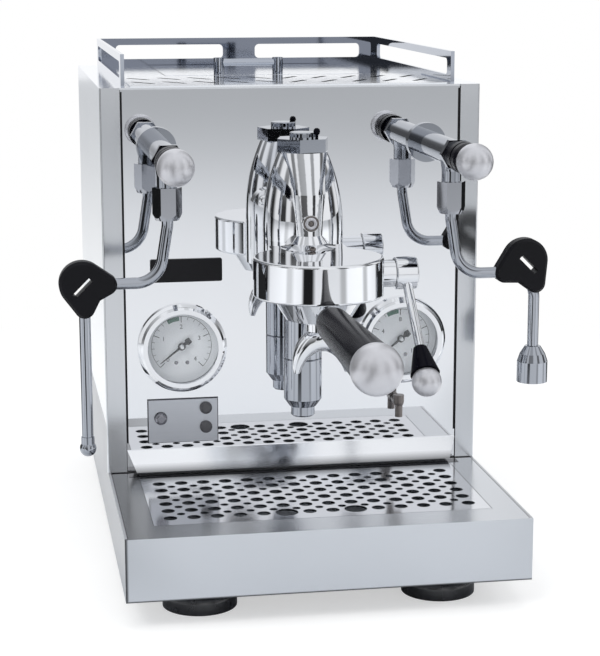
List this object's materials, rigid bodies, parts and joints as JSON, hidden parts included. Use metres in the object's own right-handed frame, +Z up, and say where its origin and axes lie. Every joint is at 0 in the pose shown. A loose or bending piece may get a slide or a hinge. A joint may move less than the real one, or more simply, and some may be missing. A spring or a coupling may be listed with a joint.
{
  "type": "lever espresso machine",
  "caption": "Countertop espresso machine with a standing brew group, side brew lever, swivelling steam and water wands, gauges, cup rail and a sliding drip tray.",
  "frame": {"origin": "middle of the footprint on the counter plane under the feet", "axes": "+Z up, -Y the front where the portafilter points, +X to the viewer's right when facing the front; +Y runs front to back along the longest extent"},
  "size_m": [0.3728, 0.654, 0.399],
  "materials": {
    "brushed_steel": "fine brushed stainless sheet",
    "polished_steel": "polished stainless sheet",
    "mirror_steel": "mirror-polished stainless sheet",
    "chrome": "bright chrome plating on brass",
    "satin_steel": "satin silver",
    "plate_steel": "darker brushed plate",
    "button_steel": "satin metal button",
    "lamp_plastic": "dark lamp lens",
    "black_enamel": "satin black enamel",
    "black_plastic": "black moulded plastic",
    "foot_rubber": "black rubber",
    "grip_rubber": "black rubber",
    "gasket_rubber": "black seal rubber",
    "dial_enamel": "off-white dial",
    "needle_enamel": "dark needle",
    "gauge_glass": "clear glass",
    "inlet_plastic": "black moulded plastic",
    "boiler_brass": "plain metal boiler",
    "pipe_copper": "plain copper pipe",
    "pump_brass": "plain brass",
    "tank_plastic": "clear plastic tank"
  },
  "bodies": {
    "machine": {"base_tub": "brushed_steel", "foot_pads": "foot_rubber", "foot_stems": "chrome", "side_panel_left": "brushed_steel", "side_panel_right": "brushed_steel", "front_panel": "mirror_steel", "rear_panel": "brushed_steel", "cup_plate": "polished_steel", "cup_rail_sides": "polished_steel", "cup_rail_rear": "polished_steel", "splash_ledge": "polished_steel", "badge_plate": "black_enamel", "control_plate": "plate_steel", "pilot_lamps": "lamp_plastic", "gauge_cases": "chrome", "gauge_dials": "dial_enamel", "gauge_glasses": "gauge_glass", "valve_left": "chrome", "valve_right": "chrome", "union_nuts": "chrome", "group_flange": "chrome", "group_body": "chrome", "group_cap": "chrome", "jet_plug": "chrome", "group_gasket": "gasket_rubber", "shower_screen": "chrome", "cam_gland": "chrome", "exhaust_valve": "chrome", "drain_cock": "chrome", "power_inlet": "inlet_plastic", "boiler": "boiler_brass", "boiler_pipes": "pipe_copper", "pump": "pump_brass"},
    "brew_lever": {"lever_hub": "chrome", "lever_cone": "black_plastic", "lever_ball": "satin_steel"},
    "portafilter": {"portafilter_bowl": "chrome", "filter_basket": "satin_steel", "portafilter_spout": "chrome", "portafilter_grip": "black_plastic", "portafilter_ball": "satin_steel"},
    "steam_knob": {"steam_knob_base": "black_plastic", "steam_knob_ball": "satin_steel"},
    "water_knob": {"water_knob_base": "black_plastic", "water_knob_ball": "satin_steel"},
    "steam_wand": {"steam_pipe": "chrome", "steam_grip": "grip_rubber", "steam_tip": "chrome"},
    "water_wand": {"water_pipe": "chrome", "water_grip": "grip_rubber", "water_nozzle": "chrome"},
    "left_needle": {"needle_left": "needle_enamel"},
    "right_needle": {"needle_right": "needle_enamel"},
    "switch_button": {"power_button": "button_steel"},
    "tray": {"drip_tray": "brushed_steel", "tray_pan": "brushed_steel"},
    "grid": {"drip_grid": "polished_steel"},
    "tank": {"water_tank": "tank_plastic"},
    "lid": {"tank_lid": "polished_steel", "lid_handle": "chrome"}
  },
  "joints": [
    {"name": "brew_lever_turn", "type": "hinge", "parent": "machine", "child": "brew_lever", "pos_m": [0.0765, -0.135, 0.235], "axis": [-1, 0, 0], "range_deg": [0, 75]},
    {"name": "portafilter_turn", "type": "hinge", "parent": "machine", "child": "portafilter", "pos_m": [0, -0.185, 0.238], "axis": [0, 0, 1], "range_deg": [-45, 0]},
    {"name": "steam_knob_turn", "type": "hinge", "parent": "machine", "child": "steam_knob", "pos_m": [-0.107, -0.2, 0.3285], "axis": [0, -1, 0], "range_deg": [0, 540]},
    {"name": "water_knob_turn", "type": "hinge", "parent": "machine", "child": "water_knob", "pos_m": [0.107, -0.2, 0.3285], "axis": [0, -1, 0], "range_deg": [0, 540]},
    {"name": "steam_wand_swivel", "type": "hinge", "parent": "machine", "child": "steam_wand", "pos_m": [-0.107, -0.154, 0.3], "axis": [0, 0, 1], "range_deg": [-45, 90]},
    {"name": "water_wand_swivel", "type": "hinge", "parent": "machine", "child": "water_wand", "pos_m": [0.107, -0.154, 0.3], "axis": [0, 0, -1], "range_deg": [-45, 90]},
    {"name": "left_needle_turn", "type": "hinge", "parent": "machine", "child": "left_needle", "pos_m": [-0.089, -0.069, 0.1695], "axis": [0, 1, 0], "range_deg": [0, 270]},
    {"name": "right_needle_turn", "type": "hinge", "parent": "machine", "child": "right_needle", "pos_m": [0.089, -0.069, 0.1695], "axis": [0, 1, 0], "range_deg": [0, 270]},
    {"name": "switch_press", "type": "slide", "parent": "machine", "child": "switch_button", "axis": [0, 1, 0], "range_m": [0, 0.002], "stiffness_N_per_m": 400, "springref_m": -0.002},
    {"name": "tray_slide", "type": "slide", "parent": "machine", "child": "tray", "axis": [0, -1, 0], "range_m": [0, 0.16]},
    {"name": "grid_lift", "type": "slide", "parent": "tray", "child": "grid", "axis": [0, 0, 1], "range_m": [0, 0.03]},
    {"name": "tank_lift", "type": "slide", "parent": "machine", "child": "tank", "axis": [0, 0, 1], "range_m": [0, 0.335]},
    {"name": "lid_lift", "type": "slide", "parent": "tank", "child": "lid", "axis": [0, 0, 1], "range_m": [0, 0.06]}
  ]
}
